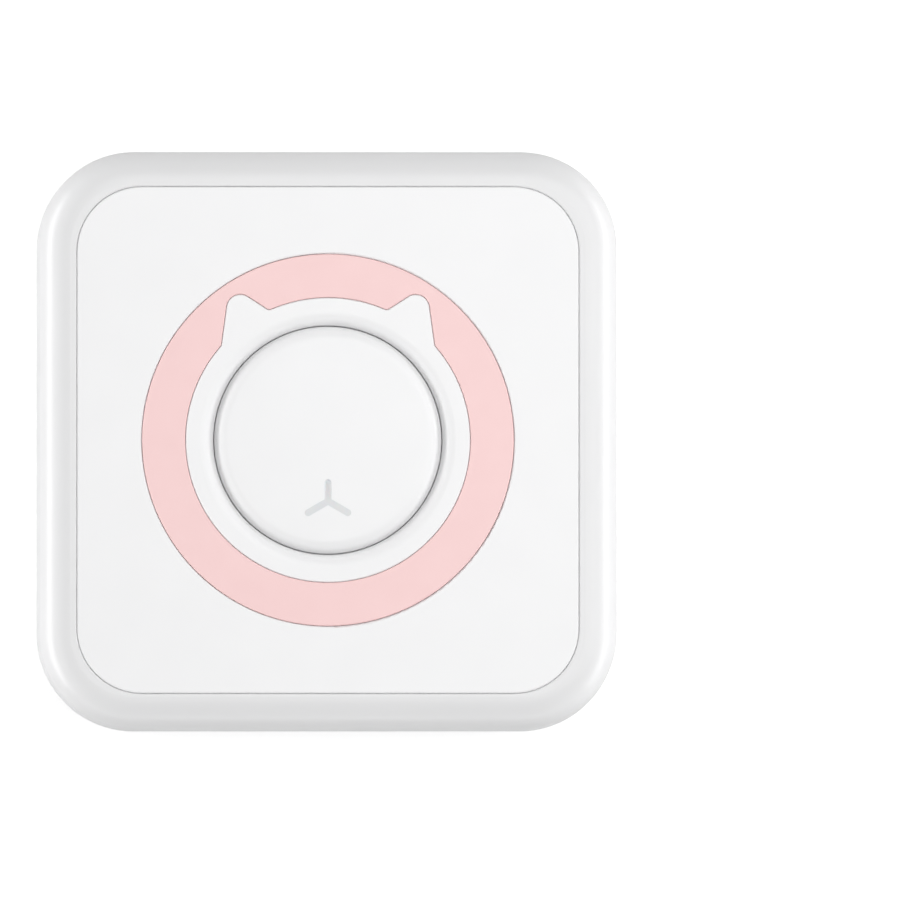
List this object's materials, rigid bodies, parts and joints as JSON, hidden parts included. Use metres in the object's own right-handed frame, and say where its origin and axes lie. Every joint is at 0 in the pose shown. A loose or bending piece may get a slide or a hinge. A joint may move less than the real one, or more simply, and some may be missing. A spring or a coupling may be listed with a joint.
{
  "type": "portable label printer",
  "caption": "Palm-sized thermal label printer with a hinged cover, a paper roll inside, and a round button in a ring with two ears.",
  "frame": {"origin": "middle of the flat back, which is the underside when the printer lies face up", "axes": "+X across the face to its right, +Y to the edge where the paper comes out, -Y the hinged edge, +Z out of the face"},
  "size_m": [0.0852, 0.0852, 0.0404],
  "materials": {
    "white_shell": "glossy white moulded plastic",
    "face_white": "brighter glossy white plastic",
    "ring_pink": "pale pink satin plastic",
    "mark_grey": "translucent light window",
    "inner_white": "fine matte moulded plastic",
    "rubber_black": "ground rubber",
    "steel": "brushed steel",
    "screw_steel": "zinc-plated steel",
    "motor_steel": "drawn steel can",
    "aluminium": "bare aluminium",
    "heater_ceramic": "glazed ceramic strip",
    "gear_plastic": "natural acetal",
    "brass": "plain brass",
    "board_green": "solder mask",
    "chip_black": "moulded black plastic",
    "plug_white": "moulded nylon",
    "flex_film": "amber film",
    "battery_wrap": "laminated foil pack",
    "lead_red": "red insulation",
    "lead_black": "black insulation",
    "paper": "smooth thermal paper",
    "core_grey": "dark moulded tube"
  },
  "bodies": {
    "base": {"base_shell": "white_shell", "case_screws": "screw_steel", "chassis": "inner_white", "paper_sensor": "chip_black", "hinge_pin": "steel", "tear_bar": "steel", "paper_web": "paper", "print_frame": "steel", "frame_screws": "screw_steel", "leaf_spring": "steel", "head_pivot": "steel", "head_flex": "flex_film", "flex_socket": "plug_white", "stepper_motor": "motor_steel", "motor_screws": "screw_steel", "idler_pin": "steel", "main_board": "board_green", "board_screws": "screw_steel", "radio_module": "aluminium", "board_chips": "chip_black", "reset_switch": "chip_black", "usb_socket": "steel", "usb_tongue": "chip_black", "contact_block": "chip_black", "contact_pins": "brass", "battery": "battery_wrap", "battery_lead_positive": "lead_red", "battery_lead_negative": "lead_black", "lead_plug": "plug_white"},
    "print_head": {"heat_sink": "aluminium", "heater_bar": "heater_ceramic"},
    "motor_rotor": {"motor_shaft": "steel", "motor_pinion": "gear_plastic"},
    "idler": {"idler_gear": "gear_plastic"},
    "roll": {"paper_roll": "paper", "roll_core": "core_grey"},
    "cover": {"cover_shell": "white_shell", "face_panel": "face_white", "ring_inlay": "ring_pink", "ear_plate": "face_white", "cover_liner": "inner_white", "liner_screws": "screw_steel", "button_board": "board_green", "tact_switch": "chip_black", "indicator_lamp": "plug_white", "button_flex": "flex_film", "contact_board": "board_green", "platen_bushes": "brass"},
    "platen": {"platen_rubber": "rubber_black", "platen_shaft": "steel", "platen_gear": "gear_plastic"},
    "power_button": {"button": "face_white", "light_mark": "mark_grey", "switch_plunger": "plug_white"}
  },
  "joints": [
    {"name": "cover_hinge", "type": "hinge", "parent": "base", "child": "cover", "pos_m": [0, -0.04055, 0.022], "axis": [1, 0, 0], "range_deg": [0, 95]},
    {"name": "button_press", "type": "slide", "parent": "cover", "child": "power_button", "axis": [0, 0, -1], "range_m": [0, 0.0005], "stiffness_N_per_m": 2000, "springref_m": -0.0005},
    {"name": "platen_spin", "type": "hinge", "parent": "cover", "child": "platen", "pos_m": [0, 0.0295, 0.0245], "axis": [1, 0, 0], "continuous": true},
    {"name": "idler_spin", "type": "hinge", "parent": "base", "child": "idler", "pos_m": [0, 0.02983, 0.01541], "axis": [1, 0, 0], "continuous": true},
    {"name": "motor_spin", "type": "hinge", "parent": "base", "child": "motor_rotor", "pos_m": [0, 0.0225, 0.0092], "axis": [1, 0, 0], "continuous": true},
    {"name": "roll_spin", "type": "hinge", "parent": "base", "child": "roll", "pos_m": [0, -0.005, 0.0176], "axis": [1, 0, 0], "continuous": true},
    {"name": "head_rock", "type": "hinge", "parent": "base", "child": "print_head", "pos_m": [0, 0.0215, 0.0176], "axis": [1, 0, 0], "range_deg": [-1.5, 0], "stiffness_Nm_per_rad": 1, "springref_deg": 5.73, "deforming": ["leaf_spring", "head_flex"]}
  ],
  "couplings": [
    {"joint": "idler_spin", "follows": "platen_spin", "ratio": -1.5714},
    {"joint": "motor_spin", "follows": "platen_spin", "ratio": 3.4048},
    {"joint": "roll_spin", "follows": "platen_spin", "ratio": 0.28571}
  ]
}
